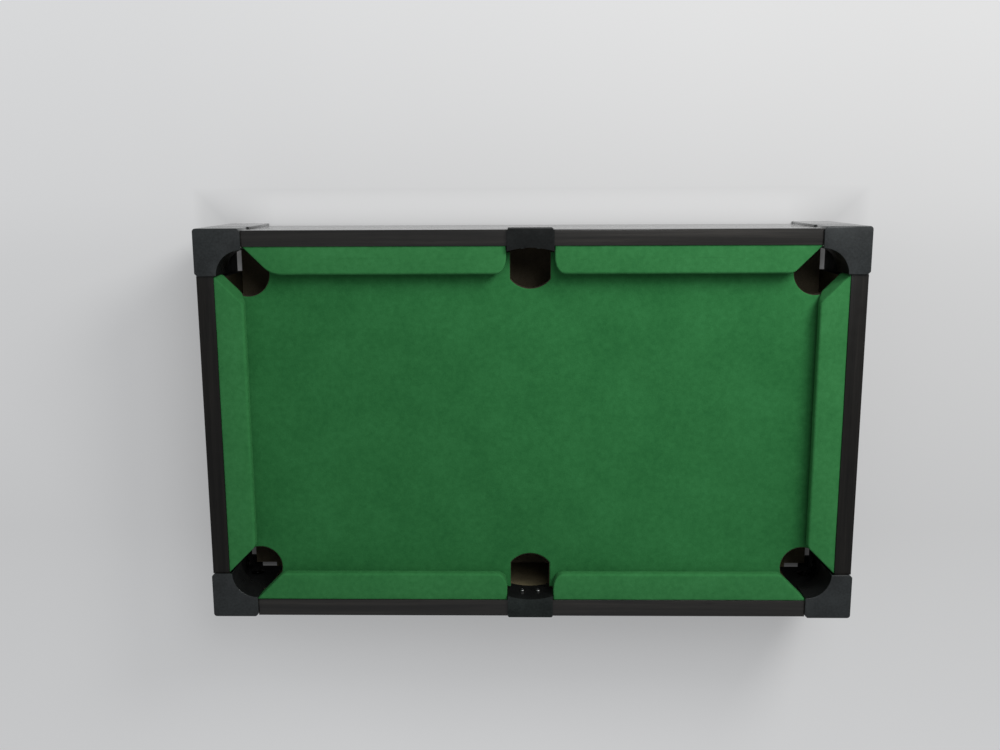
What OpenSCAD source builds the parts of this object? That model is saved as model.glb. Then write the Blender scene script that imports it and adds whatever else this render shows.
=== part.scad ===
// Mini pool table: a table-top billiards box with a felt bed, six padded cushions,
// moulded corner caps over angle legs, two side pocket caps and a closed bottom.
// +X runs along the table, +Y to its back, +Z up. The feet stand on z = 0 and the
// origin is under the middle of the table.

/* [Table] */
// Outside length over the corner caps
table_length = 510; // [440:1:600]
// Outside width over the corner caps
table_width = 310; // [270:1:360]
// Height from the feet to the top of the corner caps
table_height = 102; // [94:1:112]

/* [Rails] */
// Thickness of the four side boards
apron_thickness = 12; // [10:0.5:13]
// Height of the gap under the side boards
apron_lift = 14; // [8:1:20]
// Depth of the playing surface below the top of the side boards
bed_drop = 14.5; // [13:0.5:17]
// Distance from the outer edge of the table to the nose of a cushion
nose_reach = 35.5; // [33:0.5:38]

/* [Corners] */
// Side of a square corner cap
cap_side = 36; // [35:0.5:38]
// Wall thickness of the caps and legs
cap_wall = 3; // [2.5:0.1:3.2]
// Distance that the caps stand out from the side boards
cap_proud = 1.8; // [1.2:0.1:2.2]
// Thickness of the top plate of every cap
cap_plate = 2; // [1.6:0.1:2.6]
// Depth of the caps and of the pocket liners below their top
cap_depth = 29; // [26:0.5:32]
// Radius of the quarter-round cut in a corner cap
corner_mouth_radius = 19.5; // [18:0.5:20]
// Width of a leg's face at the foot
foot_width = 34.5; // [31:0.5:35]

/* [Pockets] */
// Radius of the corner holes in the bed
corner_hole_radius = 17; // [15.5:0.5:17.5]
// Width of the side holes in the bed
side_hole_width = 31; // [29:0.5:33]
// Distance from the outer edge of the table to the far side of a side hole
side_hole_reach = 47.5; // [45:0.5:50]
// Length of a side pocket cap along the table
side_cap_length = 36; // [35:0.5:40]

/* [Boards] */
// Thickness of the bed board
bed_thickness = 8; // [6:0.5:9]
// Thickness of the bottom board
bottom_thickness = 3; // [2.5:0.5:4]
// Thickness of the felt
felt = 0.8; // [0.6:0.1:1]

/* [Hidden] */
$fn = 64;

// colours
FOIL = [0.16, 0.14, 0.14];
MOULDING = [0.19, 0.20, 0.22];
FIBREBOARD = [0.40, 0.27, 0.17];
BED_GREEN = [0.15, 0.41, 0.22];
CUSHION_GREEN = [0.19, 0.50, 0.26];
FOAM = [0.75, 0.72, 0.60];
SCREW_STEEL = [0.62, 0.62, 0.60];

// heights
half_length = table_length / 2;
half_width = table_width / 2;
apron_top = table_height - cap_plate;
bed_top = apron_top - bed_drop - felt;
bed_bottom = bed_top - bed_thickness;
cap_bottom = table_height - cap_depth;
bottom_top = apron_lift + bottom_thickness;

// distances inward from the outer edge of the table
apron_inner = cap_proud + apron_thickness;
tongue_thickness = 6.5;             // thin end of a side board, inside the corner
tongue_inner = cap_wall + tongue_thickness;
tongue_reach = cap_side + 3;        // where the full thickness begins, below the bed
board_gap = 0.2;                    // assembly gap around the loose boards
outer_round = 2.5;                  // rounded outer edge of the caps and legs
end_chamfer = 2;                    // slanted ends of a corner cap, beside the boards
side_chamfer = 1;                   // slanted ends of a side cap
cap_overlap = 1;                    // a board reaches this far in under a corner cap's plate
slot_step = 0.5;                    // a corner slot's sides, inside its round end
foot_pad = 15;                      // square pad in the inner corner of a foot
foot_pad_height = 3;
liner_wall = 1.2;                   // wall of a pocket liner
fit_gap = 0.3;                      // gap around round parts and liners

// cushions
cushion_height = bed_drop - 1;      // felt to felt, just under the board's top edge
corner_nose_round = 7;              // plan radius of a nose at a corner pocket
side_nose_along = 8.5;              // a nose at a side pocket is a quarter oval in plan
side_nose_across = 13;
nose_edge = 3;                      // small radius along the nose
nose_undercut = 3;                  // the nose leans in by this much towards the bed
mitre_start = cap_side + 0.5;       // where a cushion's slanted end meets the board
side_end = side_cap_length / 2 + 0.5;

// side pockets
side_plate_reach = 15.2;            // inner edge of a side cap's plate at its middle
side_mouth_radius = 60;             // slow curve of that edge
side_hole_round = 20;               // far end of the hole in the bed
hair = 0.01;                        // keeps coincident cuts clean
peg_radius = 2;                     // moulded pegs that hold a side cap
peg_length = 6;
peg_spread = 11;
peg_height = table_height - 16;
liner_screw_spread = 6.4;           // two screws hold a side cap's liner to its board
liner_screw_height = table_height - 17;
liner_screw_head = 2.1;
liner_screw_seat = 0.62;            // the heads clear the liner's curved face by this much
liner_screw_length = 7;

// screws
boss_radius = 4;
screw_radius = 1.3;
screw_head_radius = 5.5;
screw_head_height = 1.8;
boss_hole_depth = 6;
corner_screw_set = cap_side / 2;    // distance of every corner screw from the corner
leg_screw_heights = [30, 58];
cap_screw_height = table_height - 18;
small_screw_radius = 1.2;
small_head_radius = 2.8;
small_head_height = 1.2;
end_screw_set = 38;                 // from a cushion's slanted end to its first screw
pocket_screw_set = 31;              // from a cushion's side pocket end to its last screw
cushion_screw_bite = 7;             // depth of a cushion screw above the felt
bottom_screw_bite = 6;              // depth of a bottom screw above the board
strip_screw_inset = 12;             // from a strip's end to its screw
cleat = 9;                          // square strips under the boards

// the four corners as sign pairs
FRONT_LEFT = [-1, -1];
FRONT_RIGHT = [1, -1];
BACK_LEFT = [-1, 1];
BACK_RIGHT = [1, 1];

// ---------- placing ----------

// Puts a shape drawn from a corner inward (x and y both growing inward) at a corner.
module at_corner(corner) {
    mirror([corner[0] > 0 ? 1 : 0, 0, 0])
        mirror([0, corner[1] > 0 ? 1 : 0, 0])
            translate([-half_length, -half_width, 0])
                children();
}

// Swaps x and y, for the second wall of a corner.
module swap_walls() {
    mirror([1, -1, 0])
        children();
}

module at_all_corners() {
    for (corner = [FRONT_LEFT, FRONT_RIGHT, BACK_LEFT, BACK_RIGHT])
        at_corner(corner)
            children();
}

module both_walls() {
    children();
    swap_walls()
        children();
}

// Puts a shape drawn at the front edge (y growing inward) at the front or the back.
module at_long_side(back) {
    mirror([0, back ? 1 : 0, 0])
        translate([0, -half_width, 0])
            children();
}

// Puts a shape drawn along x at the front edge on the left or the right side.
module at_short_side(right) {
    mirror([right ? 1 : 0, 0, 0])
        translate([-half_length, 0, 0])
            swap_walls()
                children();
}

// ---------- corner outlines ----------

// Square corner with its outer edge rounded.
module rounded_corner(side) {
    difference() {
        square(side);
        difference() {
            square(outer_round);
            translate([outer_round, outer_round])
                circle(outer_round);
        }
    }
}

// Triangle that slants one end of a cap's outer face.
module end_slant(reach, slant) {
    polygon([
        [reach - slant, -hair],
        [reach + hair, -hair],
        [reach + hair, slant]
    ]);
}

// Corner cap from above, without its mouth.
module cap_outline() {
    difference() {
        rounded_corner(cap_side);
        end_slant(cap_side, end_chamfer);
        mirror([1, -1])
            end_slant(cap_side, end_chamfer);
    }
}

// One face of a leg seen from outside, narrowing to the foot.
module leg_face_outline(extra) {
    polygon([
        [-extra, -extra],
        [foot_width + extra, -extra],
        [cap_side + extra, cap_bottom],
        [cap_side + extra, table_height],
        [-extra, table_height]
    ]);
}

// That face as a slab from the outer surface inward.
module leg_face_slab(extra) {
    translate([0, cap_wall, 0])
        rotate([90, 0, 0])
            linear_extrude(cap_wall + extra)
                leg_face_outline(extra);
}

// Round hole or rod across the front wall of a corner.
module across_wall(radius, start, end, along, height) {
    translate([along, start, height])
        rotate([-90, 0, 0])
            cylinder(r = radius, h = end - start);
}

// ---------- side boards ----------

// What the corner takes out of a board's end: x along the board, y inward.
// The tongue that is left starts at tongue_start from the corner.
module corner_cuts(tongue_start) {
    // outer recess for the leg and the cap
    leg_face_slab(hair);
    // inner recess beside the tongue, longer below the bed
    translate([-1, tongue_inner, -1])
        cube([tongue_reach + 1, apron_inner, bed_bottom + 1]);
    translate([-1, tongue_inner, -1])
        cube([cap_side - cap_overlap + 1, apron_inner, table_height + 2]);
    // the other board's share of the corner
    translate([-1, -1, -1])
        cube([tongue_start + 1, apron_inner + 2, table_height + 2]);
    // holes that the moulded bosses pass through
    for (height = concat(leg_screw_heights, [cap_screw_height]))
        across_wall(boss_radius + fit_gap, 0, tongue_reach, corner_screw_set, height);
}

module side_board(length, tongue_start) {
    difference() {
        translate([-length / 2, cap_proud, apron_lift])
            cube([length, apron_thickness, apron_top - apron_lift]);
        for (end = [0, 1])
            mirror([end, 0, 0])
                translate([-length / 2, 0, 0])
                    corner_cuts(tongue_start);
    }
}

module long_board() {
    color(FOIL)
        difference() {
            side_board(table_length, cap_wall);
            for (side = [-1, 1]) {
                across_wall(
                    peg_radius + fit_gap,
                    0,
                    cap_proud + peg_length + 0.5,
                    side * peg_spread,
                    peg_height
                );
                liner_screw_hole(side);
            }
        }
}

module short_board() {
    color(FOIL)
        side_board(table_width, tongue_inner);
}

module apron_front() {
    at_long_side(false)
        long_board();
}

module apron_back() {
    at_long_side(true)
        long_board();
}

module apron_left() {
    at_short_side(false)
        short_board();
}

module apron_right() {
    at_short_side(true)
        short_board();
}

// ---------- bed ----------

// Space that a corner pocket takes out of the bed: a round-ended slot, open to the corner.
module corner_hole() {
    half_slot = corner_hole_radius - slot_step;
    translate([cap_side, cap_side]) {
        circle(corner_hole_radius);
        rotate(-135)
            translate([0, -half_slot])
                square([2 * cap_side, 2 * half_slot]);
    }
}

// Space that a side pocket takes out of the bed, from the edge inward.
module side_hole() {
    straight = side_hole_reach - side_hole_round;
    translate([-side_hole_width / 2, 0])
        square([side_hole_width, straight]);
    intersection() {
        translate([0, straight])
            circle(side_hole_round);
        translate([-side_hole_width / 2, 0])
            square([side_hole_width, side_hole_reach + 1]);
    }
    // room for the liner beside the board
    translate([-side_cap_length / 2 - fit_gap, 0])
        square([side_cap_length + 2 * fit_gap, side_plate_reach + 4]);
}

module bed_outline() {
    inset = apron_inner + board_gap;
    difference() {
        square([table_length - 2 * inset, table_width - 2 * inset], center = true);
        at_all_corners()
            corner_hole();
        for (back = [false, true])
            at_long_side(back)
                side_hole();
    }
}

module bed_board() {
    color(FIBREBOARD)
        difference() {
            translate([0, 0, bed_bottom])
                linear_extrude(bed_thickness)
                    bed_outline();
            strip_screw_spots()
                translate([0, 0, bed_bottom - 1])
                    cylinder(r = small_screw_radius + fit_gap, h = bed_thickness);
            cushion_screw_positions()
                translate([0, 0, bed_bottom - 1])
                    cylinder(r = small_screw_radius + fit_gap, h = bed_thickness + 2);
        }
}

module bed_felt() {
    color(BED_GREEN)
        difference() {
            translate([0, 0, bed_top])
                linear_extrude(felt)
                    bed_outline();
            cushion_screw_positions()
                translate([0, 0, bed_top - 1])
                    cylinder(r = small_screw_radius + fit_gap, h = felt + 2);
        }
}

// ---------- cushions ----------

// Section across a cushion: x is the distance from the table's edge, y the height.
// The nose rounds over at the top and leans back towards the bed.
module cushion_section(skin) {
    back = apron_inner;
    nose = nose_reach - skin;
    top = cushion_height - skin;
    low = skin;
    lean = nose - nose_undercut;
    union() {
        polygon([
            [back, low],
            [lean, low],
            [nose, cushion_height * 0.5],
            [nose, top - nose_edge],
            [nose - nose_edge, top],
            [back, top]
        ]);
        translate([nose - nose_edge, top - nose_edge])
            circle(nose_edge);
    }
}

// Points of an arc, round or oval.
function arc(centre, along, across, from, to, steps = 12) = [
    for (i = [0 : steps])
        let (angle = from + (to - from) * i / steps)
            [centre[0] + along * cos(angle), centre[1] + across * sin(angle)]
];

// Plan of a cushion's end at a corner pocket: a 45 degree cut with a rounded nose.
// x is measured from the table's corner, y inward from the table's edge.
function corner_end(skin) =
    let (radius = corner_nose_round - skin)
    let (reach = nose_reach - skin)
    let (shift = skin * sqrt(2))
    let (start = mitre_start + shift)
    let (slant = start + reach - apron_inner)
    let (centre = [slant + radius * tan(22.5), reach - radius])
    concat([[start, apron_inner]], arc(centre, radius, radius, 135, 90));

// Plan of a cushion's end at a side pocket: square with an oval nose.
function side_pocket_end(skin) =
    let (along = side_nose_along - skin)
    let (across = side_nose_across - skin)
    let (end = half_length - side_end - skin)
    let (centre = [end - along, nose_reach - side_nose_across])
    concat(arc(centre, along, across, 90, 0), [[end, apron_inner]]);

// Mirrored corner end, for the far end of a short side's cushion.
function far_corner_end(skin) =
    let (near = corner_end(skin))
    [for (i = [len(near) - 1 : -1 : 0]) [table_width - near[i][0], near[i][1]]];

module cushion_body(outline, skin) {
    intersection() {
        translate([0, 0, bed_top + felt])
            rotate([90, 0, 90])
                linear_extrude(table_length)
                    cushion_section(skin);
        translate([0, 0, bed_top])
            linear_extrude(cushion_height + 1)
                polygon(outline);
    }
}

// Drawn from the front left corner, x along the table and y inward.
module long_cushion_core() {
    color(FOAM)
        difference() {
            cushion_body(concat(corner_end(felt), side_pocket_end(felt)), felt);
            long_cushion_screw_spots()
                cushion_pilot();
        }
}

module long_cushion_felt() {
    color(CUSHION_GREEN)
        difference() {
            cushion_body(concat(corner_end(0), side_pocket_end(0)), 0);
            cushion_body(concat(corner_end(felt), side_pocket_end(felt)), felt);
            long_cushion_screw_spots()
                cushion_pilot();
        }
}

module short_cushion_core() {
    color(FOAM)
        difference() {
            cushion_body(concat(corner_end(felt), far_corner_end(felt)), felt);
            short_cushion_screw_spots()
                cushion_pilot();
        }
}

module short_cushion_felt() {
    color(CUSHION_GREEN)
        difference() {
            cushion_body(concat(corner_end(0), far_corner_end(0)), 0);
            cushion_body(concat(corner_end(felt), far_corner_end(felt)), felt);
            short_cushion_screw_spots()
                cushion_pilot();
        }
}

// Places a short side's cushion, drawn along x, on the left or the right side.
module on_short_side(right) {
    mirror([right ? 1 : 0, 0, 0])
        translate([-half_length, -half_width, 0])
            swap_walls()
                children();
}

module cushion_front_left() { at_corner(FRONT_LEFT) long_cushion_core(); }
module cushion_front_right() { at_corner(FRONT_RIGHT) long_cushion_core(); }
module cushion_back_left() { at_corner(BACK_LEFT) long_cushion_core(); }
module cushion_back_right() { at_corner(BACK_RIGHT) long_cushion_core(); }
module cushion_left() { on_short_side(false) short_cushion_core(); }
module cushion_right() { on_short_side(true) short_cushion_core(); }

module cushion_felt_front_left() { at_corner(FRONT_LEFT) long_cushion_felt(); }
module cushion_felt_front_right() { at_corner(FRONT_RIGHT) long_cushion_felt(); }
module cushion_felt_back_left() { at_corner(BACK_LEFT) long_cushion_felt(); }
module cushion_felt_back_right() { at_corner(BACK_RIGHT) long_cushion_felt(); }
module cushion_felt_left() { on_short_side(false) short_cushion_felt(); }
module cushion_felt_right() { on_short_side(true) short_cushion_felt(); }

// ---------- corner caps and legs ----------

// Round boss with a pilot hole, standing in from the front wall of a corner.
module boss(height) {
    across_wall(boss_radius, cap_wall - 0.5, tongue_inner, corner_screw_set, height);
}

module boss_pilot(height) {
    across_wall(
        screw_radius + fit_gap,
        tongue_inner - boss_hole_depth,
        tongue_inner + 1,
        corner_screw_set,
        height
    );
}

// Cap of one corner: top plate with a quarter-round mouth, a skirt over the side
// boards, a curved pocket liner and two bosses.
module corner_cap() {
    color(MOULDING)
        difference() {
            union() {
                translate([0, 0, apron_top])
                    linear_extrude(cap_plate)
                        difference() {
                            cap_outline();
                            translate([cap_side, cap_side])
                                circle(corner_mouth_radius);
                        }
                translate([0, 0, cap_bottom])
                    linear_extrude(cap_depth)
                        difference() {
                            cap_outline();
                            translate([cap_wall, cap_wall])
                                square(cap_side);
                        }
                translate([0, 0, cap_bottom])
                    linear_extrude(cap_depth)
                        corner_liner();
                both_walls()
                    boss(cap_screw_height);
            }
            both_walls()
                boss_pilot(cap_screw_height);
        }
}

// Quarter-round wall around a corner mouth.
module corner_liner() {
    intersection() {
        translate([cap_side, cap_side])
            difference() {
                circle(corner_mouth_radius + liner_wall);
                circle(corner_mouth_radius);
            }
        translate([apron_inner + fit_gap, apron_inner + fit_gap])
            square(cap_side - apron_inner - fit_gap);
    }
}

module corner_cap_front_left() { at_corner(FRONT_LEFT) corner_cap(); }
module corner_cap_front_right() { at_corner(FRONT_RIGHT) corner_cap(); }
module corner_cap_back_left() { at_corner(BACK_LEFT) corner_cap(); }
module corner_cap_back_right() { at_corner(BACK_RIGHT) corner_cap(); }

// Angle leg under a cap, down to the floor.
module leg() {
    color(MOULDING)
        difference() {
            union() {
                both_walls()
                    intersection() {
                        leg_face_slab(0);
                        linear_extrude(cap_bottom)
                            rounded_corner(cap_side);
                    }
                both_walls()
                    for (height = leg_screw_heights)
                        boss(height);
                linear_extrude(foot_pad_height)
                    rounded_corner(foot_pad);
            }
            both_walls()
                for (height = leg_screw_heights)
                    boss_pilot(height);
        }
}

module leg_front_left() { at_corner(FRONT_LEFT) leg(); }
module leg_front_right() { at_corner(FRONT_RIGHT) leg(); }
module leg_back_left() { at_corner(BACK_LEFT) leg(); }
module leg_back_right() { at_corner(BACK_RIGHT) leg(); }

// ---------- side pocket caps ----------

// Slowly curved edge towards the pocket.
module side_mouth(grow) {
    translate([0, side_plate_reach + side_mouth_radius])
        circle(side_mouth_radius + grow, $fn = 128);
}

module side_cap_outline(depth) {
    difference() {
        translate([-side_cap_length / 2, 0])
            square([side_cap_length, depth]);
        for (side = [0, 1])
            mirror([side, 0])
                end_slant(side_cap_length / 2, side_chamfer);
    }
}

// Saddle over the side board: plate, outer skirt, curved inner liner and two pegs.
module side_cap() {
    color(MOULDING)
        difference() {
            union() {
                translate([0, 0, apron_top])
                    linear_extrude(cap_plate)
                        difference() {
                            side_cap_outline(side_plate_reach + 3);
                            side_mouth(0);
                        }
                translate([0, 0, cap_bottom])
                    linear_extrude(cap_depth)
                        side_cap_outline(cap_proud);
                translate([0, 0, cap_bottom])
                    linear_extrude(cap_depth)
                        intersection() {
                            side_cap_outline(side_plate_reach + 3);
                            difference() {
                                side_mouth(liner_wall);
                                side_mouth(0);
                            }
                        }
                for (side = [-1, 1])
                    across_wall(
                        peg_radius,
                        cap_proud - 0.5,
                        cap_proud + peg_length,
                        side * peg_spread,
                        peg_height
                    );
            }
            for (side = [-1, 1])
                liner_screw_hole(side);
        }
}

// Hole for a liner screw, through the liner and into the board.
module liner_screw_hole(side) {
    across_wall(
        small_screw_radius + fit_gap,
        side_plate_reach - liner_screw_length,
        side_plate_reach + 2,
        side * liner_screw_spread,
        liner_screw_height
    );
}

module side_cap_front() { at_long_side(false) side_cap(); }
module side_cap_back() { at_long_side(true) side_cap(); }

// ---------- bottom and strips ----------

module bottom_board() {
    inset = apron_inner + board_gap;
    color(FIBREBOARD)
        difference() {
            translate([inset - half_length, inset - half_width, apron_lift])
                cube([table_length - 2 * inset, table_width - 2 * inset, bottom_thickness]);
            strip_screw_spots()
                translate([0, 0, apron_lift - 1])
                    cylinder(r = small_screw_radius + fit_gap, h = bottom_thickness + 2);
        }
}

// Where the strips start, measured from a corner along a board.
strip_start = 62;
bottom_strip_start = 34;            // the long strips on the bottom board reach further
side_strip_start = 26;              // from the middle of a long board

module long_strip(height, start) {
    translate([start, apron_inner, height])
        cube([half_length - start - side_strip_start, cleat, cleat]);
}

module short_strip(height) {
    translate([apron_inner, strip_start, height])
        cube([cleat, table_width - 2 * strip_start, cleat]);
}

module strips(height, start) {
    at_all_corners()
        long_strip(height, start);
    for (corner = [FRONT_LEFT, FRONT_RIGHT])
        at_corner(corner)
            short_strip(height);
}

module bed_cleats() {
    color(FIBREBOARD)
        difference() {
            strips(bed_bottom - cleat, strip_start);
            strip_screw_spots()
                translate([0, 0, bed_bottom - cleat - 1])
                    cylinder(r = small_screw_radius + fit_gap, h = cleat + 2);
        }
}

module bottom_cleats() {
    color(FIBREBOARD)
        difference() {
            strips(bottom_top, bottom_strip_start);
            strip_screw_spots()
                translate([0, 0, bottom_top - 1])
                    cylinder(r = small_screw_radius + fit_gap, h = bottom_screw_bite + 2);
        }
}

// ---------- screws ----------

strip_centre = apron_inner + cleat / 2;

module strip_screw_spots() {
    at_all_corners()
        for (along = [
            strip_start + strip_screw_inset,
            half_length - side_strip_start - strip_screw_inset
        ])
            translate([along, strip_centre, 0])
                children();
    for (corner = [FRONT_LEFT, FRONT_RIGHT])
        at_corner(corner)
            for (along = [
                strip_start + strip_screw_inset,
                table_width - strip_start - strip_screw_inset
            ])
                translate([strip_centre, along, 0])
                    children();
}

cushion_screw_set = apron_inner + cleat + 5;
first_cushion_screw = mitre_start + end_screw_set;
last_cushion_screw = half_length - side_end - pocket_screw_set;

// Three screws along a cushion, from the first place to the last.
module cushion_screw_row(first, last) {
    for (along = [first, (first + last) / 2, last])
        translate([along, cushion_screw_set, 0])
            children();
}

module long_cushion_screw_spots() {
    cushion_screw_row(first_cushion_screw, last_cushion_screw)
        children();
}

module short_cushion_screw_spots() {
    cushion_screw_row(first_cushion_screw, table_width - first_cushion_screw)
        children();
}

module cushion_screw_positions() {
    at_all_corners()
        long_cushion_screw_spots()
            children();
    for (right = [false, true])
        on_short_side(right)
            short_cushion_screw_spots()
                children();
}

module cushion_pilot() {
    translate([0, 0, bed_top - 1])
        cylinder(r = small_screw_radius + fit_gap, h = felt + cushion_screw_bite + 2);
}

// Washer-head screw, head at y = 0, shank towards -y.
module washer_screw(length) {
    rotate([90, 0, 0])
        cylinder(r = screw_radius, h = length);
    rotate([-90, 0, 0])
        cylinder(r = screw_head_radius, h = screw_head_height);
}

// Pan-head screw pointing up from its head at z = 0.
module small_screw(length, head_radius = small_head_radius) {
    cylinder(r = small_screw_radius, h = length);
    translate([0, 0, -small_head_height])
        cylinder(r = head_radius, h = small_head_height);
}

module corner_screws() {
    color(SCREW_STEEL)
        at_all_corners()
            both_walls()
                for (height = concat(leg_screw_heights, [cap_screw_height]))
                    translate([corner_screw_set, tongue_inner, height])
                        washer_screw(boss_hole_depth - 0.5);
}

// The heads rest against the liner's curved face, in the pocket.
module side_cap_screws() {
    seat = side_plate_reach + liner_screw_seat;
    color(SCREW_STEEL)
        for (back = [false, true])
            at_long_side(back)
                for (side = [-1, 1])
                    translate([side * liner_screw_spread, seat, liner_screw_height])
                        rotate([90, 0, 0])
                            small_screw(liner_screw_length, liner_screw_head);
}

module bed_screws() {
    color(SCREW_STEEL)
        strip_screw_spots()
            translate([0, 0, bed_bottom - cleat])
                small_screw(cleat + bed_thickness - 3);
}

module cushion_screws() {
    color(SCREW_STEEL)
        cushion_screw_positions()
            translate([0, 0, bed_bottom])
                small_screw(bed_thickness + felt + cushion_screw_bite);
}

module bottom_screws() {
    color(SCREW_STEEL)
        strip_screw_spots()
            translate([0, 0, apron_lift])
                small_screw(bottom_thickness + bottom_screw_bite);
}

// ---------- nodes ----------

apron_front();
apron_back();
apron_left();
apron_right();
bed_board();
bed_felt();
cushion_front_left();
cushion_front_right();
cushion_back_left();
cushion_back_right();
cushion_left();
cushion_right();
cushion_felt_front_left();
cushion_felt_front_right();
cushion_felt_back_left();
cushion_felt_back_right();
cushion_felt_left();
cushion_felt_right();
corner_cap_front_left();
corner_cap_front_right();
corner_cap_back_left();
corner_cap_back_right();
leg_front_left();
leg_front_right();
leg_back_left();
leg_back_right();
side_cap_front();
side_cap_back();
bottom_board();
bottom_cleats();
bed_cleats();
corner_screws();
side_cap_screws();
cushion_screws();
bed_screws();
bottom_screws();
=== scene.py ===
import math

import bmesh
import bpy
from mathutils import Matrix, Vector, noise


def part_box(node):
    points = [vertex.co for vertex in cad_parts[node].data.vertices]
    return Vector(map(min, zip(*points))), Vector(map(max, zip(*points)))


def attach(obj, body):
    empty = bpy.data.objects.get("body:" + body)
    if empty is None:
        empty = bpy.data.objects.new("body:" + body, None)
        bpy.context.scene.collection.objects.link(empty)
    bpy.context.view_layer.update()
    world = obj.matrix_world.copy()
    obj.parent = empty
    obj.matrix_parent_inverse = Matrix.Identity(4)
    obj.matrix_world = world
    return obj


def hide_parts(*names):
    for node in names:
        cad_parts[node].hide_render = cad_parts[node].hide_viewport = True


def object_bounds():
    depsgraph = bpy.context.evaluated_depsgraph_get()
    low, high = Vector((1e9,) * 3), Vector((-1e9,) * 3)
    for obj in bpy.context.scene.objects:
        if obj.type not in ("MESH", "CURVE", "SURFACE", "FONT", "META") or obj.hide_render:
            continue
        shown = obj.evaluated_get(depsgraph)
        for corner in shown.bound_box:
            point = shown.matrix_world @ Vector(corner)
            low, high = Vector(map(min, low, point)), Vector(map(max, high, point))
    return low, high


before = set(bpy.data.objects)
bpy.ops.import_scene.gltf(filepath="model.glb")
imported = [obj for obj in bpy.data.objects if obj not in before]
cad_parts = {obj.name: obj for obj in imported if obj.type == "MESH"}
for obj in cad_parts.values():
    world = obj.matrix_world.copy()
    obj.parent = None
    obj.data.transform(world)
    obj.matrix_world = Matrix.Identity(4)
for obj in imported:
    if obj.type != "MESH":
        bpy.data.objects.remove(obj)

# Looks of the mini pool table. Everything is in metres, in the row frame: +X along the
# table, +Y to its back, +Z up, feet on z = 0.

MM = 0.001
cad_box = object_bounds()

# ---------- places, taken from the frame ----------

box_high = Vector(cad_box[1])
half_length = box_high.x
half_width = box_high.y
front_low, front_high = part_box("apron_front")
rail_inner = half_width + front_high.y   # from the table's edge to a board's inner face
rail_outer = half_width + front_low.y    # and to its outer face
bed_low, bed_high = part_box("bed_felt")
bed_top = bed_high.z
cap_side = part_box("corner_cap_front_left")[1].x + half_length

# side boards
rail_edge = 0.7 * MM                     # rounding of a board's edges
# how far each board's outer face stands nearer the face of the caps than in the frame
rail_swell = {"front": 1.3 * MM, "back": 0.2 * MM, "left": 1.0 * MM, "right": 1.0 * MM}
raw_top = bed_top - 8 * MM               # the boards' inner faces are raw below this height
dark_reach = 4 * MM                      # how far a board's dark end runs on past a cap

# pockets, as in the frame's own bed
corner_hole_radius = 17 * MM
slot_step = 0.5 * MM                     # the way out to the corner is this much narrower a side
corner_mouth_radius = 19.5 * MM          # of a corner cap's quarter-round wall
side_hole_half = 15.5 * MM
side_hole_reach = 47.5 * MM              # from the table's edge to the hole's far side
side_hole_round = 20 * MM
liner_notch_half = 18.3 * MM             # notch in the bed for a side cap's liner
liner_notch_reach = 19.2 * MM

# cushions, each in its own frame: x along it, y from its back to its nose
corner_nose_round = 7 * MM               # bend between the nose and a corner end
loose_nose_round = 20 * MM               # the same, where the felt is wrapped loosely
side_nose_along = 8.5 * MM               # oval bend at a side pocket
side_nose_across = 13 * MM
least_round = 0.6 * MM
nose_edge = 2.2 * MM                     # rounding of the top edges
end_edge = 1.1 * MM
back_edge = 0.4 * MM
tip_reach = 1.5 * MM                     # a cushion's tip passes under the edge of a corner cap
short_reach = 0.3 * MM                   # the same, on a loose end and on the short cushions
end_lean = 2.8 * MM                      # foot of a leaning end, beyond its top edge
nose_undercut = 4.2 * MM
crown = 0.35 * MM

# mouldings
cap_edge = 0.5 * MM                      # rounding of their edges
side_cap_edge = 0.4 * MM
leg_edge = 0.45 * MM
skirt_depth = 1.3 * MM                   # points this near the table's side are on a skirt
back_cap_tuck = 1.2 * MM                 # the back pocket's cap is nearly flush with its board

# mesh work
weld = 2e-6                              # points nearer than this are one
round_angle = 32                         # edges sharper than this are rounded, in degrees


# ---------- small mesh helpers ----------

def new_piece(name, bm, materials, smooth_angle):
    """Turns a bmesh into an object of the table, riding on its one body."""
    mesh = bpy.data.meshes.new(name)
    bm.to_mesh(mesh)
    bm.free()
    for one in materials:
        mesh.materials.append(one)
    mesh.shade_smooth()
    mesh.set_sharp_from_angle(angle=math.radians(smooth_angle))
    piece = bpy.data.objects.new(name, mesh)
    bpy.context.scene.collection.objects.link(piece)
    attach(piece, "root")
    return piece


def join_rings(bm, rings):
    """Quads between rings of vertices that all have the same count."""
    for lower, upper in zip(rings, rings[1:]):
        count = len(lower)
        for i in range(count):
            j = (i + 1) % count
            bm.faces.new((lower[i], lower[j], upper[j], upper[i]))


def arc_points(centre, radius, start, end, steps, across=None):
    """Points on a circle, or on an oval if its y radius is given; angles in degrees."""
    points = []
    for i in range(steps + 1):
        angle = math.radians(start + (end - start) * i / steps)
        points.append((
            centre[0] + radius * math.cos(angle),
            centre[1] + (across or radius) * math.sin(angle),
        ))
    return points


def line_points(start, end, steps):
    """Points from start to just before end."""
    points = []
    for i in range(steps):
        t = i / steps
        points.append((
            start[0] + (end[0] - start[0]) * t,
            start[1] + (end[1] - start[1]) * t,
        ))
    return points


def offset_outline(points, distance):
    """Moves a closed outline sideways; positive goes to the left of its direction."""
    moved = []
    count = len(points)
    for i in range(count):
        before, here, after = points[i - 1], points[i], points[(i + 1) % count]
        first = Vector((here[0] - before[0], here[1] - before[1])).normalized()
        second = Vector((after[0] - here[0], after[1] - here[1])).normalized()
        side = Vector((-first.y - second.y, first.x + second.x))
        if side.length < 1e-6:
            side = Vector((-first.y, first.x))
        side.normalize()
        spread = max(0.5, side.dot(Vector((-first.y, first.x))))
        moved.append((here[0] + side.x * distance / spread, here[1] + side.y * distance / spread))
    return moved


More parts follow.
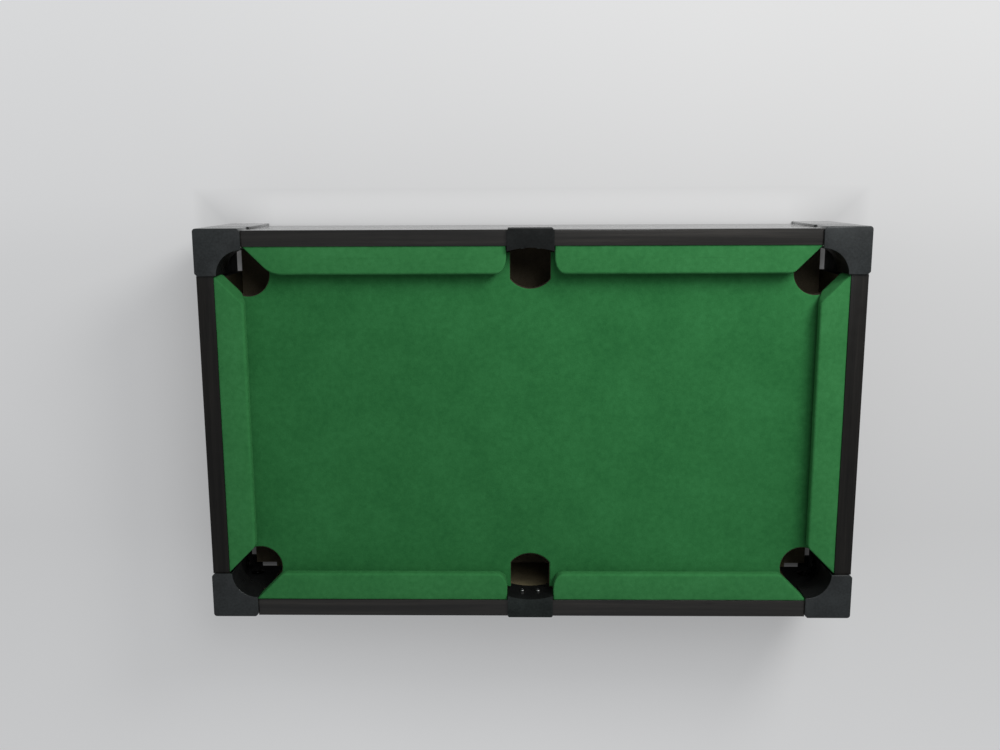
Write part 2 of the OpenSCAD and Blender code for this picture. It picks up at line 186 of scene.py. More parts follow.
def welded_copy(node_name):
    """A copy of a CAD node's mesh, with the points that its faces share made one."""
    bm = bmesh.new()
    bm.from_mesh(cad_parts[node_name].data)
    bmesh.ops.remove_doubles(bm, verts=bm.verts, dist=weld)
    return bm


def rounded_copy(node_name, width):
    """A copy of a CAD node's mesh with its edges rounded, which stands for the node."""
    bm = welded_copy(node_name)
    bmesh.ops.dissolve_limit(
        bm, angle_limit=math.radians(0.8), verts=bm.verts, edges=bm.edges)
    sharp = []
    for edge in bm.edges:
        if len(edge.link_faces) == 2 and edge.calc_face_angle(0) > math.radians(round_angle):
            sharp.append(edge)
    bmesh.ops.bevel(
        bm, geom=sharp, offset=width, offset_type="OFFSET", segments=3,
        profile=0.5, affect="EDGES", clamp_overlap=True, harden_normals=False)
    return bm


def sort_by_place(bm):
    """Gives points and faces one fixed order, which a cut by a plane doesn't."""
    for i, vert in enumerate(sorted(bm.verts, key=lambda one: tuple(one.co))):
        vert.index = i
    bm.verts.sort()
    for i, face in enumerate(sorted(bm.faces, key=lambda one: tuple(one.calc_center_median()))):
        face.index = i
    bm.faces.sort()


# ---------- materials ----------

class Look:
    """A procedural material under construction; its scales are in waves per metre."""

    def __init__(self, name, roughness=0.6):
        self.material = bpy.data.materials.new(name)
        self.material.use_nodes = True
        self.tree = self.material.node_tree
        self.shader = self.tree.nodes["Principled BSDF"]
        self.shader.inputs["Roughness"].default_value = roughness
        self.coordinates = self.tree.nodes.new("ShaderNodeTexCoord").outputs["Object"]

    def link(self, output, target):
        self.tree.links.new(output, target)

    def set(self, **values):
        """Sets the shader's own sockets; an underscore stands for a space."""
        for name, value in values.items():
            self.shader.inputs[name.replace("_", " ")].default_value = value

    def scaled(self, x, y, z):
        """Object coordinates stretched along the axes."""
        node = self.tree.nodes.new("ShaderNodeMapping")
        node.inputs["Scale"].default_value = (x, y, z)
        self.link(self.coordinates, node.inputs["Vector"])
        return node.outputs["Vector"]

    def noise(self, scale, detail=3.0, roughness=0.55, vector=None, distortion=0.0):
        node = self.tree.nodes.new("ShaderNodeTexNoise")
        node.inputs["Scale"].default_value = scale
        node.inputs["Detail"].default_value = detail
        node.inputs["Roughness"].default_value = roughness
        node.inputs["Distortion"].default_value = distortion
        self.link(vector or self.coordinates, node.inputs["Vector"])
        return node.outputs["Fac"]

    def cells(self, scale, vector=None):
        node = self.tree.nodes.new("ShaderNodeTexVoronoi")
        node.inputs["Scale"].default_value = scale
        self.link(vector or self.coordinates, node.inputs["Vector"])
        return node.outputs["Distance"]

    def math(self, operation, first, second=0.5):
        node = self.tree.nodes.new("ShaderNodeMath")
        node.operation = operation
        for socket, value in zip(node.inputs, (first, second)):
            if isinstance(value, (int, float)):
                socket.default_value = value
            else:
                self.link(value, socket)
        return node.outputs["Value"]

    def spread(self, value, low, high, from_low=0.3, from_high=0.7):
        """Takes from_low to low and from_high to high, and holds them outside that range."""
        node = self.tree.nodes.new("ShaderNodeMapRange")
        node.inputs["From Min"].default_value = from_low
        node.inputs["From Max"].default_value = from_high
        node.inputs["To Min"].default_value = low
        node.inputs["To Max"].default_value = high
        self.link(value, node.inputs["Value"])
        return node.outputs["Result"]

    def ramp(self, value, *stops):
        """Colours along a value from 0 to 1."""
        node = self.tree.nodes.new("ShaderNodeValToRGB")
        elements = node.color_ramp.elements
        while len(elements) < len(stops):
            elements.new(0.5)
        for element, (position, colour) in zip(elements, stops):
            element.position = position
            element.color = (*colour, 1.0)
        self.link(value, node.inputs["Fac"])
        return node.outputs["Color"]

    def mix(self, share, first, second, blend="MIX"):
        node = self.tree.nodes.new("ShaderNodeMix")
        node.data_type = "RGBA"
        node.blend_type = blend
        for socket, value in (("Factor", share), (6, first), (7, second)):
            target = node.inputs[socket]
            if isinstance(value, (int, float)):
                target.default_value = value
            elif isinstance(value, tuple):
                target.default_value = (*value, 1.0)
            else:
                self.link(value, target)
        return node.outputs[2]

    def colour(self, output):
        self.link(output, self.shader.inputs["Base Color"])

    def roughness(self, output):
        self.link(output, self.shader.inputs["Roughness"])

    def bump(self, height, strength, distance, under=None):
        """Bump on the surface, or on another bump under it."""
        node = self.tree.nodes.new("ShaderNodeBump")
        node.inputs["Strength"].default_value = strength
        node.inputs["Distance"].default_value = distance
        self.link(height, node.inputs["Height"])
        if under is not None:
            self.link(under, node.inputs["Normal"])
        self.link(node.outputs["Normal"], self.shader.inputs["Normal"])
        return node.outputs["Normal"]


def felt_look(name, dark, middle, light):
    """Short-napped felt: mottled dye, fine fibres and a soft sheen."""
    look = Look(name, 0.95)
    look.set(Specular_IOR_Level=0.12, Sheen_Weight=0.22, Sheen_Roughness=0.45)
    look.set(Sheen_Tint=(*light, 1.0))
    cloud = look.noise(26, 3)
    patch = look.noise(240, 3)
    fibre = look.noise(1500, 4, 0.7, distortion=0.6)
    tone = look.math("ADD", look.math("MULTIPLY", cloud, 0.30), look.math("MULTIPLY", patch, 0.35))
    tone = look.math("ADD", tone, look.math("MULTIPLY", fibre, 0.35))
    base = look.ramp(tone, (0.36, dark), (0.5, middle), (0.64, light))
    lint = look.ramp(look.noise(3200, 2, 0.5), (0.70, (0, 0, 0)), (0.78, (1, 1, 1)))
    pale = tuple(min(1.0, value * 1.9) for value in light)
    look.colour(look.mix(look.math("MULTIPLY", lint, 0.35), base, pale))
    under = look.bump(look.noise(420, 3), 0.35, 0.25 * MM)
    look.bump(fibre, 0.55, 0.22 * MM, under)
    return look.material


def foil_look(name, along_x, strength, skin_index):
    """Dark wood-grain foil on a side board, its grain running along the board; strength scales its
    colour, painted lighter or darker per board as painted light and shade.
    """
    look = Look(name, 0.45)
    look.set(Specular_IOR_Level=0.15, Coat_Weight=1.0, Coat_Roughness=0.14)
    look.set(Coat_IOR=skin_index)
    grain_scale = (5, 260, 260) if along_x else (260, 5, 260)
    vein = look.noise(1.0, 6, 0.62, look.scaled(*grain_scale), 0.5)
    pore_scale = (60, 1500, 1500) if along_x else (1500, 60, 1500)
    pore = look.noise(1.0, 2, 0.5, look.scaled(*pore_scale))
    stops = []
    for place, shade in (
        (0.34, (0.0062, 0.0055, 0.0046)),
        (0.52, (0.0115, 0.0103, 0.0087)),
        (0.70, (0.021, 0.0185, 0.0158)),
    ):
        stops.append((place, tuple(value * strength for value in shade)))
    base = look.ramp(vein, *stops)
    pores = look.ramp(pore, (0.58, (1, 1, 1)), (0.68, (0.45, 0.42, 0.42)))
    look.colour(look.mix(0.8, base, pores, "MULTIPLY"))
    look.roughness(look.spread(look.noise(90, 4), 0.38, 0.55))
    under = look.bump(vein, 0.10, 0.12 * MM)
    look.bump(pore, 0.15, 0.06 * MM, under)
    return look.material


def board_look(name, dark, light, speck=0.5):
    """Raw pressed fibreboard, speckled with chips."""
    look = Look(name, 0.85)
    look.set(Specular_IOR_Level=0.25)
    fine = look.noise(900, 5, 0.7)
    broad = look.noise(60, 3)
    tone = look.math("ADD", look.math("MULTIPLY", fine, 0.6), look.math("MULTIPLY", broad, 0.4))
    base = look.ramp(tone, (0.38, dark), (0.62, light))
    chips = look.ramp(look.cells(520), (0.0, (0.55, 0.50, 0.45)), (0.35, (1, 1, 1)))
    look.colour(look.mix(speck, base, chips, "MULTIPLY"))
    look.bump(fine, 0.35, 0.12 * MM)
    return look.material


def moulding_look(name, shade, low, high, grain, gloss, skin=0.0):
    """Black moulded plastic with a fine die texture, a little dust and a thin shiny skin."""
    look = Look(name, low)
    look.set(Specular_IOR_Level=gloss, Coat_Weight=skin, Coat_Roughness=0.16, Coat_IOR=1.25)
    cloud = look.noise(55, 4)
    mottle = look.noise(650, 3, 0.6)
    tone = look.math("ADD", look.math("MULTIPLY", cloud, 0.5), look.math("MULTIPLY", mottle, 0.5))
    dark = tuple(value * 0.72 for value in shade)
    pale = tuple(value * 1.35 for value in shade)
    base = look.ramp(tone, (0.38, dark), (0.62, pale))
    dust = look.ramp(look.noise(1100, 3, 0.6), (0.62, (0, 0, 0)), (0.80, (1, 1, 1)))
    dusty = tuple(value * 2.6 for value in shade)
    look.colour(look.mix(look.math("MULTIPLY", dust, 0.3), base, dusty))
    look.roughness(look.spread(look.noise(140, 4), low, high))
    look.bump(look.noise(2600, 2, 0.5), grain, 0.05 * MM)
    return look.material


def steel_look(name, dark, light):
    """Plated screw steel, slightly streaked."""
    look = Look(name, 0.3)
    look.set(Metallic=1.0)
    look.colour(look.ramp(look.noise(500, 4), (0.35, dark), (0.65, light)))
    look.roughness(look.spread(look.noise(900, 3), 0.24, 0.42))
    look.bump(look.noise(1500, 2), 0.2, 0.03 * MM)
    return look.material


def floor_paint(look, floor_y, beyond):
    """Greys of the floor, with painted shade: darker where the lamps shine most, a painted shade
    band along the table, and painted shade under the table's front.
    """
    # painted shade: the grey is darkest near (0.36, 0.50) on the floor, below the lamps where they
    # shine most, and paler further away
    reach = look.tree.nodes.new("ShaderNodeVectorMath")
    reach.operation = "DISTANCE"
    look.link(look.coordinates, reach.inputs[0])
    reach.inputs[1].default_value = (0.36, 0.50, 0)
    away = look.spread(reach.outputs["Value"], 0.0, 1.0, 0.1, 1.1)
    tone = look.math("ADD", away, look.math("MULTIPLY", look.noise(2.5, 3), 0.06))
    lamp_pool_shade = look.ramp(tone, (0.0, (0.40, 0.40, 0.40)), (0.9, (0.60, 0.602, 0.605)))
    # painted shade band along the table: darkest about 0.11 m in front of its middle, paler
    # towards the back
    across = look.spread(floor_y, 0.0, 1.0, -0.35, 0.39)
    shade = look.ramp(
        across,
        (0.0, (0.85, 0.85, 0.85)), (0.32, (0.76, 0.76, 0.76)),
        (0.58, (0.81, 0.81, 0.81)), (1.0, (0.95, 0.95, 0.95)))
    # painted shade under the front of the table, fading out between y = -0.05 and 0.05 m
    inside = look.spread(beyond, 0.45, 1.0, -0.006, 0.0)
    rear = look.spread(floor_y, 0.0, 1.0, -0.05, 0.05)
    shade_under_front = look.math("MAXIMUM", inside, rear)
    paint = look.mix(1.0, lamp_pool_shade, shade, "MULTIPLY")
    return look.mix(1.0, paint, shade_under_front, "MULTIPLY")


def floor_lift(look, floor_y, beyond_x):
    """How many times brighter the floor glows at the table's back edge and behind it."""
    behind = look.math("SUBTRACT", floor_y, half_width)
    close = look.spread(look.math("ABSOLUTE", behind), 1.34, 0.0, 0.0, 0.028)
    beside = look.spread(beyond_x, 1.0, 0.0, -0.04, 0.02)
    near_lift = look.math("ADD", look.math("MULTIPLY", beside, close), 1.0)
    wide = look.spread(behind, 0.0, 0.13, -0.03, 0.02)
    inward = look.spread(beyond_x, 1.0, 0.5, -0.10, 0.05)
    return look.math("ADD", look.math("MULTIPLY", inward, wide), near_lift)


def floor_look():
    """Pale floor that glows a little, except under the table."""
    look = Look("pale_floor", 0.75)
    look.set(Specular_IOR_Level=0.2, Emission_Strength=0.62)
    split = look.tree.nodes.new("ShaderNodeSeparateXYZ")
    look.link(look.coordinates, split.inputs[0])
    floor_x = split.outputs[0]
    floor_y = split.outputs[1]
    # how far a point lies outside the table's outline, negative under the table
    beyond_x = look.math("SUBTRACT", look.math("ABSOLUTE", floor_x), half_length)
    beyond_y = look.math("SUBTRACT", look.math("ABSOLUTE", floor_y), half_width)
    beyond = look.math("MAXIMUM", beyond_x, beyond_y)
    paint = floor_paint(look, floor_y, beyond)
    look.colour(paint)
    outside = look.spread(beyond, 0.04, 1.0, -0.02, 0.03)
    glow = look.math("MULTIPLY", outside, floor_lift(look, floor_y, beyond_x))
    glow_paint = look.tree.nodes.new("ShaderNodeVectorMath")
    glow_paint.operation = "SCALE"
    look.link(paint, glow_paint.inputs[0])
    look.link(glow, glow_paint.inputs["Scale"])
    look.link(glow_paint.outputs[0], look.shader.inputs["Emission Color"])
    return look.material


bed_green = felt_look(
    "bed_felt_green", (0.018, 0.126, 0.034), (0.025, 0.153, 0.043), (0.032, 0.181, 0.054))
cushion_green = felt_look(
    "cushion_felt_green", (0.025, 0.148, 0.042), (0.033, 0.177, 0.052), (0.042, 0.207, 0.065))
# one foil in two copies: its colour is painted lighter on the long boards (1.08) and darker on the
# short ones (0.65), painted light and shade for how the lamps fall on them
foil_long_painted_lighter = foil_look("foil_long_boards", True, 1.08, 1.45)
foil_short_painted_darker = foil_look("foil_short_boards", False, 0.65, 1.22)
raw_board = board_look("raw_board", (0.10, 0.082, 0.044), (0.19, 0.160, 0.090))
hole_edge = board_look("hole_edge", (0.030, 0.024, 0.015), (0.066, 0.054, 0.036))
hardboard = board_look("hardboard", (0.165, 0.136, 0.088), (0.252, 0.208, 0.138), 0.35)
cap_black = moulding_look(
    "cap_black", (0.0195, 0.0225, 0.0232), 0.48, 0.64, 0.35, 0.20, 1.0)
# one moulding in two copies: the front pocket's cap is painted lighter and the back pocket's
# darker, painted light and shade that makes up for the back lamp lighting the back cap more
side_cap_shaded_looks = {
    "front": moulding_look(
        "side_cap_front", (0.0162, 0.0200, 0.0190), 0.60, 0.75, 0.30, 0.10),
    "back": moulding_look(
        "side_cap_back", (0.0088, 0.0099, 0.0098), 0.60, 0.75, 0.30, 0.10),
}
leg_black = moulding_look(
    "leg_black", (0.0055, 0.0058, 0.0062), 0.22, 0.34, 0.10, 0.3, 1.0)
liner_black = moulding_look(
    "liner_black", (0.0088, 0.0095, 0.0093), 0.26, 0.38, 0.08, 0.20)
inner_black = moulding_look(
    "inner_black", (0.0220, 0.0232, 0.0228), 0.50, 0.65, 0.20, 0.12)
zinc = steel_look("zinc_steel", (0.42, 0.42, 0.40), (0.66, 0.66, 0.62))
black_steel = steel_look("black_steel", (0.012, 0.012, 0.012), (0.024, 0.024, 0.024))
dark_steel = steel_look("dark_steel", (0.16, 0.165, 0.16), (0.30, 0.31, 0.30))
floor_pale = floor_look()


# ---------- side boards ----------

def side_boards():
    """Rounded boards under foil; their inner faces are raw and their thin ends black."""
    outer = (half_length, half_width)
    # depths from the table's edge: the outer face and its rounding end at the first, faces
    # past the second aren't on the outside, and faces past the third are the inner ones
    face_depth = rail_outer + rail_edge + 0.1 * MM
    inside_depth = rail_outer + 1 * MM
    inner_depth = rail_inner - 0.8 * MM
    for side, material in (("front", foil_long_painted_lighter), ("back", foil_long_painted_lighter),
                           ("left", foil_short_painted_darker), ("right", foil_short_painted_darker)):
        node_name = "apron_" + side
        bm = rounded_copy(node_name, rail_edge)
        across, along = (1, 0) if side in ("front", "back") else (0, 1)
        outward = 1 if side in ("back", "right") else -1
        for vert in bm.verts:
            if outer[across] - abs(vert.co[across]) < face_depth:
                vert.co[across] += outward * rail_swell[side]
        every = list(bm.verts) + list(bm.edges) + list(bm.faces)
        bmesh.ops.bisect_plane(
            bm, geom=every, plane_co=(0, 0, raw_top), plane_no=(0, 0, 1), dist=1e-6)
        sort_by_place(bm)
        for face in bm.faces:
            centre = face.calc_center_median()
            deep = outer[across] - abs(centre[across])
            to_end = outer[along] - abs(centre[along])
            if to_end < cap_side + dark_reach and deep > inside_depth:
                face.material_index = 1
            elif deep > inner_depth and centre.z < raw_top:
                face.material_index = 2
        looks = [material, inner_black, raw_board]
        piece = new_piece("rail_" + side, bm, looks, smooth_angle=30)
        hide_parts(node_name)


# ---------- bed ----------

def corner_gap():
    """Outline around a corner pocket, from a side board to a long board, corner inward."""
    half_slot = corner_hole_radius - slot_step
    mouth = rail_inner + half_slot * math.sqrt(2)
    turn = math.degrees(math.asin(half_slot / corner_hole_radius))
    points = [(rail_inner, mouth)]
    points += arc_points((cap_side, cap_side), corner_hole_radius, 225 - turn, turn - 135, 40)
    points += [(mouth, rail_inner)]
    return points


def side_gap():
    """Outline around a side pocket, from its left to its right, edge inward."""
    centre = side_hole_reach - side_hole_round
    turn = math.degrees(math.acos(side_hole_half / side_hole_round))
    left = [
        (-liner_notch_half, rail_inner),
        (-liner_notch_half, liner_notch_reach),
        (-side_hole_half, liner_notch_reach),
    ]
    bow = arc_points((0, centre), side_hole_round, 180 - turn, turn, 18)
    right = [(-x, y) for x, y in reversed(left)]
    return left + bow + right


def bed_outline():
    """Closed outline of the bed, counter-clockwise from above."""
    corner = corner_gap()
    side = side_gap()
    points = []
    points += [(x - half_length, y - half_width) for x, y in corner]
    points += [(x, y - half_width) for x, y in side]
    points += [(half_length - x, y - half_width) for x, y in reversed(corner)]
    points += [(half_length - x, half_width - y) for x, y in corner]
    points += [(-x, half_width - y) for x, y in side]
    points += [(x - half_length, half_width - y) for x, y in reversed(corner)]
    return points


def bed_felt():
    """Felt glued to the bed, rolled over the edges of the pockets."""
    outline = bed_outline()
    clear = 0.15 * MM                    # from the felt's edge to the boards and the caps
    roll = 1.2 * MM                      # radius of the rolled edge
    drop = 3.2 * MM                      # how far the felt hangs into a hole
    steps = 5
    bm = bmesh.new()
    rings = []
    for i in range(steps + 1):
        angle = math.radians(90 * i / steps)
        inset = roll * (1 - math.sin(angle)) + clear
        height = bed_top - roll * (1 - math.cos(angle))
        points = offset_outline(outline, inset)
        rings.append([bm.verts.new((x, y, height)) for x, y in points])
    foot = offset_outline(outline, clear)
    rings.append([bm.verts.new((x, y, bed_top - drop)) for x, y in foot])
    join_rings(bm, list(reversed(rings)))
    bm.faces.new(rings[0])
    bmesh.ops.recalc_face_normals(bm, faces=bm.faces)
    if sum(face.normal.z for face in bm.faces) < 0:
        bmesh.ops.reverse_faces(bm, faces=bm.faces)
    piece = new_piece("bed_cloth", bm, [bed_green], smooth_angle=50)
    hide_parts("bed_felt")


# ---------- cushions ----------

def end_outline(kind, depth, nose_in, end_in, back_in, lean):
    """How far an end has moved along the cushion, and its bend from the end to the nose."""
    steps = 10
    straight_back = 2 * MM               # a side end is straight for this far from its back
    nose = depth - nose_in
    if kind == "side":
        along = max(least_round, side_nose_along - nose_in)
        across = max(least_round, min(side_nose_across, nose - straight_back) - nose_in)
        centre = (end_in + along, nose - across)
        return end_in, arc_points(centre, along, 180, 90, steps, across)
    radius = loose_nose_round if kind == "loose corner" else corner_nose_round
    largest = 0.8 * (nose - back_in) / (1 - math.cos(math.radians(45)))
    radius = min(max(least_round, radius - nose_in), largest)
    if kind == "leaning corner":
        end_in -= lean
    shift = end_in * math.sqrt(2)
    slant = shift + nose
    centre = (slant + radius * math.tan(math.radians(22.5)), nose - radius)
    return shift, arc_points(centre, radius, 135, 90, steps)


def cushion_ring(length, depth, start_kind, end_kind, nose_in, end_in, back_in, lean):
    """Closed outline of a cushion at one height."""
    steps_end = 12
    steps_long = max(8, round(length / (6 * MM)))
    start_shift, start_bend = end_outline(start_kind, depth, nose_in, end_in, back_in, lean)
    far_shift, far_bend = end_outline(end_kind, depth, nose_in, end_in, back_in, lean)
    slant = 0 if start_kind == "side" else back_in
    far_slant = 0 if end_kind == "side" else back_in
    start_back = (start_shift + slant, back_in)
    far_back = (length - far_shift - far_slant, back_in)
    far_bend = [(length - x, y) for x, y in reversed(far_bend)]
    points = line_points(start_back, start_bend[0], steps_end)
    points += start_bend
    points += line_points(start_bend[-1], far_bend[0], steps_long)[1:]
    points += far_bend
    points += line_points(far_bend[-1], far_back, steps_end)[1:]
    points += line_points(far_back, start_back, steps_long)
    return [(min(max(x, 0.0), length), y) for x, y in points]


def edge_inset(height, top, radius):
    """How far a rounded edge has pulled in at a height."""
    over = height - (top - radius)
    if over <= 0:
        return 0.0
    return radius - math.sqrt(max(0.0, radius ** 2 - over ** 2))


def cushion_levels(height, depth):
    """(height, nose, end and back insets) from the bed up, then inward over the top."""
    undercut_share = 0.5                 # of the height
    undercut_curve = 1.15
    steps = 8                            # round the top edges
    levels = [(0.0, nose_undercut + 0.5 * MM, 0.5 * MM, 0.3 * MM)]
    for share in (0.04, 0.16, 0.30, 0.44, 0.54, 0.64):
        inset = nose_undercut * max(0.0, 1 - share / undercut_share) ** undercut_curve
        levels.append((share * height, inset, 0.0, 0.0))
    for i in range(1, steps + 1):
        angle = math.radians(90 * i / steps)
        z = height - nose_edge * (1 - math.sin(angle))
        levels.append((
            z,
            edge_inset(z, height, nose_edge),
            edge_inset(z, height, end_edge),
            edge_inset(z, height, back_edge),
        ))
    middle = (depth - nose_edge - back_edge) / 2
    for share in (0.10, 0.28, 0.5, 0.72, 0.93):
        step = middle * share
        rise = crown * (1 - (1 - share) ** 2)
        levels.append((height + rise, nose_edge + step, end_edge + step, back_edge + step))
    return levels


def cushion(name, start_kind, end_kind, place, length, depth, height):
    """A rubber cushion wrapped in felt: undercut nose, rolled edges, slightly crowned."""
    bm = bmesh.new()
    rings = []
    for z, nose_in, end_in, back_in in cushion_levels(height, depth):
        lean = end_lean * max(0.0, 1 - z / (height - end_edge))
        points = cushion_ring(
            length, depth, start_kind, end_kind, nose_in, end_in, back_in, lean)
        rings.append([bm.verts.new((x, y, z)) for x, y in points])
    join_rings(bm, rings)
    bm.faces.new(rings[0])
    bm.faces.new(rings[-1])
    bm.transform(place)
    bmesh.ops.recalc_face_normals(bm, faces=bm.faces)
    bm.normal_update()
    # the felt is slightly uneven, but its foot stays on the bed
    for vert in bm.verts:
        if vert.co.z > bed_top + 1 * MM:
            broad = noise.noise(vert.co * 45)
            fine = noise.noise(vert.co * 260)
            vert.co += vert.normal * (0.16 * MM * broad + 0.06 * MM * fine)
    piece = new_piece("cushion_cloth_" + name, bm, [cushion_green], smooth_angle=62)
    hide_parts("cushion_felt_" + name, "cushion_" + name)


def long_cushion(side, end):
    """One of the four cushions between a corner pocket and a side pocket."""
    name = side + "_" + end
    low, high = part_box("cushion_felt_" + name)
    flip_x = -1 if end == "right" else 1
    flip_y = -1 if side == "back" else 1
    corner = Vector((
        high.x if end == "right" else low.x,
        high.y if side == "back" else low.y,
        low.z,
    ))
    near = "loose corner" if name == "back_left" else "corner"
    reach = short_reach if name == "back_left" else tip_reach
    corner.x -= flip_x * reach
    place = Matrix.Translation(corner) @ Matrix.Diagonal((flip_x, flip_y, 1, 1))
    size = high - low
    size.x += reach
    cushion(name, near, "side", place, size.x, size.y, size.z)


def short_cushion(end):
    """One of the two cushions across the table's ends."""
    low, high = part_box("cushion_felt_" + end)
    corner = Vector((high.x if end == "right" else low.x, low.y - short_reach, low.z))
    swap = Matrix(((0, 1, 0, 0), (1, 0, 0, 0), (0, 0, 1, 0), (0, 0, 0, 1)))
    flip = Matrix.Diagonal((-1 if end == "right" else 1, 1, 1, 1))
    place = Matrix.Translation(corner) @ flip @ swap
    size = high - low
    length = size.y + 2 * short_reach
    cushion(end, "corner", "leaning corner", place, length, size.x, size.z)


def cushions():
    """All six cushions, the long ones first."""
    for side in ("front", "back"):
        for end in ("left", "right"):
            long_cushion(side, end)
    short_cushion("left")
    short_cushion("right")


# ---------- mouldings ----------

def cap_piece(name, node_name, width, material, in_pocket, tuck=0.0):
    """A cap whose faces inside the pocket are glossy; tuck moves its outer skirt inward."""
    bm = rounded_copy(node_name, width)
    for vert in bm.verts:
        if half_width - abs(vert.co.y) < skirt_depth:
            vert.co.y -= math.copysign(tuck, vert.co.y)
    for face in bm.faces:
        centre = face.calc_center_median()
        if abs(face.normal.z) < 0.4 and in_pocket(centre):
            face.material_index = 1
    piece = new_piece(name, bm, [material, liner_black], smooth_angle=30)
    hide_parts(node_name)


def in_corner_pocket(place):
    """True on the quarter-round wall under a corner cap's mouth."""
    slack = 0.4 * MM
    across = Vector((
        half_length - abs(place.x) - cap_side,
        half_width - abs(place.y) - cap_side,
    ))
    return across.length < corner_mouth_radius + slack


def in_side_pocket(place):
    """True on the curved wall under a side cap's mouth."""
    slack = 0.2 * MM
    return half_width - abs(place.y) > rail_inner - slack


def leg_piece(name, node_name):
    """A leg, shiny outside and on its sole, and dull on the faces that look inward."""
    sole = 1 * MM
    bm = rounded_copy(node_name, leg_edge)
    for face in bm.faces:
        centre = face.calc_center_median()
        deep = min(half_length - abs(centre.x), half_width - abs(centre.y))
        if deep > rail_outer and centre.z > sole:
            face.material_index = 1
    piece = new_piece(name, bm, [leg_black, inner_black], smooth_angle=30)
    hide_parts(node_name)


def mouldings():
    """Corner caps, legs and side caps with softened edges."""
    for side in ("front", "back"):
        for end in ("left", "right"):
            name = side + "_" + end
            cap_piece(
                "corner_" + name, "corner_cap_" + name, cap_edge, cap_black, in_corner_pocket)
            leg_piece("foot_" + name, "leg_" + name)
        tuck = back_cap_tuck if side == "back" else 0.0
        cap_piece(
            "pocket_" + side, "side_cap_" + side, side_cap_edge,
            side_cap_shaded_looks[side], in_side_pocket, tuck)


# ---------- screws ----------

def points_box(points):
    """Lowest and highest corners of some points."""
    low = Vector(min(point[i] for point in points) for i in range(3))
    high = Vector(max(point[i] for point in points) for i in range(3))
    return low, high


def low_corner(points):
    """Rounded lowest corner of some points, to sort them by place."""
    return tuple(round(value, 4) for value in points_box(points)[0])


def islands(node_name):
    """The points of each separate solid of a node, in the order of their places."""
    bm = welded_copy(node_name)
    waiting = set(bm.verts)
    found = []
    while waiting:
        group = [waiting.pop()]
        for vert in group:
            for edge in vert.link_edges:
                other = edge.other_vert(vert)
                if other in waiting:
                    waiting.discard(other)
                    group.append(other)
        found.append([vert.co.copy() for vert in group])
    bm.free()
    return sorted(found, key=low_corner)


def screw_measures(points):
    """Seat of the head, direction from shank to head, head radius and height, shank length."""
    low, high = points_box(points)
    size = high - low
    middle = (low + high) / 2
    axis = min(range(3), key=lambda i: abs(size[(i + 1) % 3] - size[(i + 2) % 3]))
    sides = [i for i in range(3) if i != axis]
    head_radius = size[sides[0]] / 2
    rim = 0.9 * head_radius              # points further from the axis are on the head
    wide = []
    for point in points:
        off = math.hypot(point[sides[0]] - middle[sides[0]], point[sides[1]] - middle[sides[1]])
        if off > rim:
            wide.append(point[axis])
    outward = 1 if max(wide) > high[axis] - 1e-5 else -1
    seat = middle.copy()
    seat[axis] = min(wide) if outward > 0 else max(wide)
    direction = Vector((0, 0, 0))
    direction[axis] = outward
    head_height = max(wide) - min(wide)
    return seat, direction, head_radius, head_height, size[axis] - head_height


def cross_outline(reach, half):
    """Outline of a cross recess, with as many points as a ring of the screw, 24."""
    mean = (reach + half) / 2
    arm = [
        (reach, -half), (reach, 0), (reach, half), (mean, half), (half, half), (half, mean),
    ]
    points = []
    for turn in range(4):
        for x, y in arm:
            for _ in range(turn):
                x, y = -y, x
            points.append((x, y))
    return points


# Heads of screws: their outline as shares of the head's radius and height, and the shares of
# the head's radius that the shank and the cross recess take.
flanged_head = {
    "outline": ((1, 0), (1, 0.22), (0.92, 0.36), (0.60, 0.42), (0.56, 0.70), (0.46, 0.90),
                (0.30, 1)),
    "shank": 0.24,
    "recess": 0.26,
}
domed_head = {
    "outline": ((1, 0), (1, 0.30), (0.93, 0.58), (0.78, 0.82), (0.50, 1)),
    "shank": 0.43,
    "recess": 0.44,
}


def add_screw(bm, points, head):
    """A screw with a shaped head and a cross recess, in place of a plain one."""
    seat, direction, radius, height, length = screw_measures(points)
    shank = radius * head["shank"]
    recess = head["recess"] * radius
    profile = [(shank * 0.3, -length), (shank, -length + shank), (shank, 0)]
    profile += [(wide * radius, high * height) for wide, high in head["outline"]]
    turn = direction.to_track_quat("Z", "Y").to_matrix().to_4x4()
    place = Matrix.Translation(seat) @ turn
    count = 24
    step = 360 / count
    rings = []
    for ring_radius, z in profile:
        ring = []
        for i in range(count):
            angle = math.radians(step * (i - 1))
            spot = (ring_radius * math.cos(angle), ring_radius * math.sin(angle), z)
            ring.append(bm.verts.new(place @ Vector(spot)))
        rings.append(ring)
    # the recess narrows towards its floor
    for shrink, z in ((1.0, 1.0), (0.8, 0.45)):
        outline = cross_outline(recess * shrink, recess * 0.28 * shrink)
        rings.append([bm.verts.new(place @ Vector((x, y, z * height))) for x, y in outline])
    join_rings(bm, rings)
    bm.faces.new(rings[0])
    bm.faces.new(rings[-1])


def screws():
    """Each set of screws as one piece, with a shaped head on every screw."""
    for node_name, head, material in (
        ("corner_screws", flanged_head, black_steel),
        ("side_cap_screws", domed_head, dark_steel),
        ("cushion_screws", domed_head, zinc),
        ("bed_screws", domed_head, zinc),
        ("bottom_screws", domed_head, zinc),
    ):
        bm = bmesh.new()
        for points in islands(node_name):
            add_screw(bm, points, head)
        bmesh.ops.recalc_face_normals(bm, faces=bm.faces)
        piece = new_piece("set_of_" + node_name, bm, [material], smooth_angle=35)
        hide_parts(node_name)


# ---------- carried-over nodes ----------

def plain_nodes():
    """Hidden boards and strips keep their CAD shape and get real surfaces."""
    for node_name, material in (
        ("bed_board", hole_edge),
        ("bottom_board", hardboard),
        ("bottom_cleats", raw_board),
        ("bed_cleats", raw_board),
    ):
        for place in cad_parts[node_name].material_slots:
            place.material = material


# ---------- stage, light and camera ----------

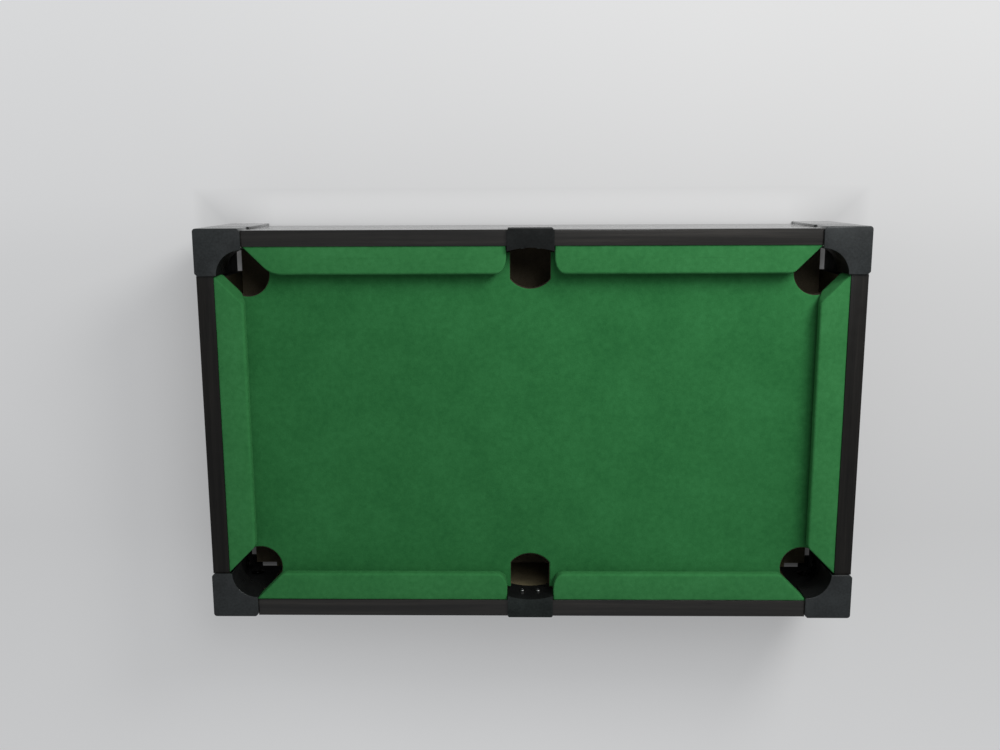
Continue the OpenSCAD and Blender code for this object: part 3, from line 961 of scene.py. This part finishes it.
def stage():
    """A floor that reaches past every view."""
    bm = bmesh.new()
    bmesh.ops.create_grid(bm, x_segments=8, y_segments=8, size=20.0)
    mesh = bpy.data.meshes.new("floor")
    bm.to_mesh(mesh)
    bm.free()
    mesh.materials.append(floor_pale)
    floor = bpy.data.objects.new("floor", mesh)
    bpy.context.scene.collection.objects.link(floor)


def area_light(name, place, size, power, colour):
    """A round soft lamp that faces the table's middle."""
    data = bpy.data.lights.new(name, "AREA")
    data.shape = "DISK"
    data.size = size
    data.energy = power
    data.color = colour
    lamp = bpy.data.objects.new(name, data)
    lamp.location = place
    aim = Vector((0, 0, 0.08)) - Vector(place)
    lamp.rotation_euler = aim.to_track_quat("-Z", "Y").to_euler()
    bpy.context.scene.collection.objects.link(lamp)


def lights():
    """Two soft lamps from behind and to the right, in a pale room."""
    area_light("key", place=(0.50, 0.62, 0.62), size=0.38, power=4.7, colour=(1.0, 0.99, 0.975))
    area_light("high", place=(0.28, 0.62, 1.12), size=0.60, power=4.2, colour=(0.97, 0.985, 1.0))
    world = bpy.data.worlds.new("soft_room")
    world.use_nodes = True
    sky = world.node_tree.nodes["Background"]
    sky.inputs["Color"].default_value = (0.95, 0.97, 1.0, 1.0)
    sky.inputs["Strength"].default_value = 0.33
    bpy.context.scene.world = world
    bpy.context.scene.view_settings.view_transform = "Standard"


def camera():
    """Almost straight down on the felt, a little from the table's back."""
    data = bpy.data.cameras.new("camera")
    data.sensor_width = 36               # both in millimetres
    data.lens = 37.08
    data.clip_start = 10 * MM
    # the camera's axes in the row frame
    right = (0.99983, -0.0046, -0.01802)
    up = (0.00122, 0.98309, -0.18311)
    back = (0.01855, 0.18306, 0.98293)
    turn = Matrix((right, up, back)).transposed().to_4x4()
    place = Vector((-8.7 * MM, 187.5 * MM, box_high.z + 777.1 * MM))
    eye = bpy.data.objects.new("camera", data)
    eye.matrix_world = Matrix.Translation(place) @ turn
    bpy.context.scene.collection.objects.link(eye)
    bpy.context.scene.camera = eye


# ---------- build ----------

side_boards()
bed_felt()
cushions()
mouldings()
screws()
plain_nodes()
stage()
lights()
camera()
